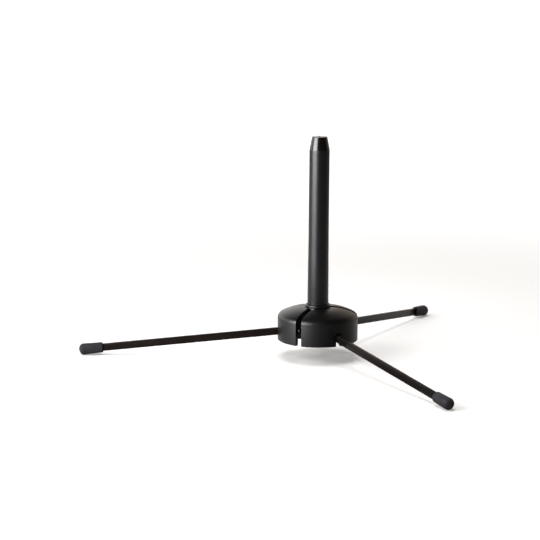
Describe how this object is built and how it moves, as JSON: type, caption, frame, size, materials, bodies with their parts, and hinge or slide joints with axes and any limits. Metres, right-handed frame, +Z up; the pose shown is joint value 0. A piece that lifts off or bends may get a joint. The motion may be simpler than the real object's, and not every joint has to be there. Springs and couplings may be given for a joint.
{
  "type": "folding tripod stand with upright peg",
  "caption": "Small tabletop tripod: domed slotted hub, upright round peg with a conical nose, and thin flat-bar legs that fold down, on rubber foot caps.",
  "frame": {"origin": "middle of the footprint's bounding box, on the surface that the feet stand on", "axes": "+Z up along the peg; +X from the single left leg towards the pair of right legs; +Y from the front leg to the rear leg"},
  "size_m": [0.289, 0.3322, 0.1775],
  "materials": {
    "hub_black": "fine matt moulding grain",
    "carrier_black": "plain moulding",
    "peg_black": "satin, lightly textured, smoother nose",
    "brass": "turned brass",
    "zinc_steel": "zinc plated",
    "spring_steel": "black oxide",
    "bar_paint": "satin black over drawn flat steel bar",
    "foot_rubber": "matt moulded rubber",
    "nylon": "plain black nylon"
  },
  "bodies": {
    "hub": {"hub_cap": "hub_black", "leg_carrier": "carrier_black", "centre_bolt": "zinc_steel", "bolt_washer": "zinc_steel", "wave_washer": "spring_steel", "peg_collar": "peg_black", "peg": "peg_black", "peg_insert": "brass", "pivot_pin_left": "brass", "pivot_pin_rear": "brass", "pivot_pin_front": "brass"},
    "leg_left": {"leg_bar_left": "bar_paint", "foot_cap_left": "foot_rubber", "leg_washer_left_a": "nylon", "leg_washer_left_b": "nylon"},
    "leg_rear": {"leg_bar_rear": "bar_paint", "foot_cap_rear": "foot_rubber", "leg_washer_rear_a": "nylon", "leg_washer_rear_b": "nylon"},
    "leg_front": {"leg_bar_front": "bar_paint", "foot_cap_front": "foot_rubber", "leg_washer_front_a": "nylon", "leg_washer_front_b": "nylon"}
  },
  "joints": [
    {"name": "leg_left_fold", "type": "hinge", "parent": "hub", "child": "leg_left", "pos_m": [0.03151, 0, 0.02278], "axis": [0, -1, 0], "range_deg": [0, 84]},
    {"name": "leg_rear_fold", "type": "hinge", "parent": "hub", "child": "leg_rear", "pos_m": [0.05401, 0.01299, 0.02278], "axis": [-0.866, 0.5, 0], "range_deg": [0, 84]},
    {"name": "leg_front_fold", "type": "hinge", "parent": "hub", "child": "leg_front", "pos_m": [0.05401, -0.01299, 0.02278], "axis": [0.866, 0.5, 0], "range_deg": [0, 84]}
  ]
}
